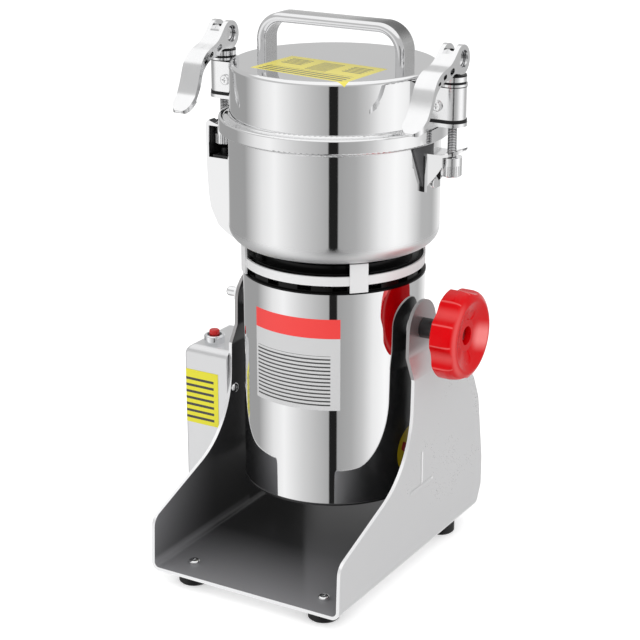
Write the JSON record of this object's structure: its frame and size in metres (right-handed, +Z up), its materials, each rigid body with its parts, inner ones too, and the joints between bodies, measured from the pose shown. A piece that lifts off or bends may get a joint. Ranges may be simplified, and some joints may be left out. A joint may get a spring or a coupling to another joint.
{
  "type": "electric grain mill",
  "caption": "Swing-type electric grain mill: steel motor tube and clamped grinding bowl that tilt between the cheeks of an open-front stand, locked by a round knob.",
  "frame": {"origin": "on the table under the upright axis of motor and bowl", "axes": "+Z up, -Y to the open front of the stand, +X to the lock knob"},
  "size_m": [0.1859, 0.1765, 0.319],
  "materials": {
    "stand_paint": "satin silver-grey powder coat",
    "foot_rubber": "matte black rubber",
    "screw_steel": "zinc plated",
    "box_paint": "fine light grey paint",
    "black_plastic": "matte black",
    "black_gloss": "gloss black",
    "collar_chrome": "bright plated",
    "button_red": "gloss red",
    "gland_rubber": "soft matte black",
    "polished_steel": "mirror polished stainless steel",
    "handle_steel": "polished stainless bar",
    "lever_steel": "satin cast and polished",
    "clamp_steel": "bright pressed steel",
    "rod_steel": "turned and threaded",
    "catch_steel": "pressed stainless sheet",
    "cover_steel": "satin stainless sheet",
    "seal_rubber": "black rubber",
    "gasket_silicone": "pale silicone",
    "vent_black": "gloss black moulding",
    "bell_aluminium": "as cast",
    "core_steel": "stacked laminations, oxide blue-grey",
    "winding_copper": "enamelled copper wire",
    "commutator_copper": "turned copper segments",
    "brush_brass": "pressed brass",
    "brush_carbon": "carbon block",
    "shaft_steel": "ground steel",
    "blade_steel": "ground stainless blade",
    "knob_red": "gloss red moulding"
  },
  "bodies": {
    "base": {"stand": "stand_paint", "feet": "foot_rubber", "foot_screws": "screw_steel", "control_box_cover": "box_paint", "control_box_screws": "screw_steel", "overload_breaker": "black_plastic", "reset_collar": "collar_chrome", "rocker_frame": "black_plastic", "cord_gland": "gland_rubber"},
    "head": {"motor_housing": "polished_steel", "bottom_cap": "black_plastic", "head_screws": "screw_steel", "vent_core": "vent_black", "vent_ring": "polished_steel", "lower_end_bell": "bell_aluminium", "upper_end_bell": "bell_aluminium", "bearings": "shaft_steel", "stator_core": "core_steel", "field_coils": "winding_copper", "carbon_brushes": "brush_carbon", "brush_holders": "brush_brass", "pivot_bosses": "screw_steel", "pivot_bolt": "screw_steel", "pivot_nuts": "screw_steel", "bowl": "polished_steel", "shaft_seal": "seal_rubber", "lid_gasket": "gasket_silicone", "lid": "polished_steel", "lid_handle": "handle_steel", "clamp_lugs": "catch_steel", "catch_bracket": "catch_steel", "catch_pad": "seal_rubber", "catch_rivets": "screw_steel", "lock_housing": "cover_steel", "switch_block": "black_plastic"},
    "reset": {"reset_button": "button_red"},
    "rocker": {"rocker_switch": "black_gloss"},
    "rotor": {"motor_shaft": "shaft_steel", "armature_core": "core_steel", "commutator": "commutator_copper", "cooling_fan": "black_plastic", "blade_spacers": "shaft_steel", "grinding_blades": "blade_steel", "blade_nut": "blade_steel"},
    "sleeve": {"lock_sleeve": "black_plastic"},
    "knob": {"lock_knob": "knob_red", "knob_stud": "rod_steel"},
    "plunger": {"interlock_plunger": "black_plastic"},
    "right_clamp": {"right_clamp_body": "clamp_steel", "right_clamp_rubbers": "seal_rubber", "right_clamp_screw": "screw_steel"},
    "right_pull": {"right_clamp_rod": "rod_steel", "right_clamp_nut": "rod_steel"},
    "right_cam": {"right_lever": "lever_steel"},
    "left_clamp": {"left_clamp_body": "clamp_steel", "left_clamp_rubbers": "seal_rubber", "left_clamp_screw": "screw_steel"},
    "left_pull": {"left_clamp_rod": "rod_steel", "left_clamp_nut": "rod_steel"},
    "left_cam": {"left_lever": "lever_steel"}
  },
  "joints": [
    {"name": "head_tilt", "type": "hinge", "parent": "base", "child": "head", "pos_m": [0, 0, 0.1476], "axis": [1, 0, 0], "range_deg": [0, 115]},
    {"name": "motor_spin", "type": "hinge", "parent": "head", "child": "rotor", "pos_m": [0, 0, 0.1175], "axis": [0, 0, 1], "continuous": true},
    {"name": "knob_travel", "type": "slide", "parent": "head", "child": "sleeve", "axis": [1, 0, 0], "range_m": [0, 0.0026]},
    {"name": "knob_turn", "type": "hinge", "parent": "sleeve", "child": "knob", "pos_m": [0.075, 0, 0.1476], "axis": [1, 0, 0], "range_deg": [0, 720]},
    {"name": "reset_press", "type": "slide", "parent": "base", "child": "reset", "axis": [0, 0, -1], "range_m": [0, 0.0015], "stiffness_N_per_m": 500, "springref_m": -0.002},
    {"name": "rocker_tip", "type": "hinge", "parent": "base", "child": "rocker", "pos_m": [-0.0925, 0.006, 0.075], "axis": [0, -1, 0], "range_deg": [0, 18]},
    {"name": "plunger_press", "type": "slide", "parent": "head", "child": "plunger", "axis": [0, 0, -1], "range_m": [0, 0.0012], "stiffness_N_per_m": 250, "springref_m": -0.002},
    {"name": "right_clamp_swing", "type": "hinge", "parent": "head", "child": "right_clamp", "pos_m": [0.0678, 0, 0.2776], "axis": [0, -1, 0], "range_deg": [0, 25]},
    {"name": "right_pull_slide", "type": "slide", "parent": "right_clamp", "child": "right_pull", "axis": [0, 0, -1], "range_m": [0, 0.0012]},
    {"name": "right_lever_open", "type": "hinge", "parent": "right_pull", "child": "right_cam", "pos_m": [0.0737, 0, 0.3029], "axis": [-1, 0, 0], "range_deg": [0, 104]},
    {"name": "left_clamp_swing", "type": "hinge", "parent": "head", "child": "left_clamp", "pos_m": [-0.0678, 0, 0.2776], "axis": [0, 1, 0], "range_deg": [0, 25]},
    {"name": "left_pull_slide", "type": "slide", "parent": "left_clamp", "child": "left_pull", "axis": [0, 0, -1], "range_m": [0, 0.0012]},
    {"name": "left_lever_open", "type": "hinge", "parent": "left_pull", "child": "left_cam", "pos_m": [-0.0737, 0, 0.3029], "axis": [-1, 0, 0], "range_deg": [0, 104]}
  ],
  "couplings": [
    {"joint": "knob_travel", "follows": "knob_turn", "m_per_rad": 0.00019894},
    {"joint": "right_lever_open", "follows": "right_pull_slide", "rad_per_m": 1454.4},
    {"joint": "left_lever_open", "follows": "left_pull_slide", "rad_per_m": 1454.4}
  ]
}
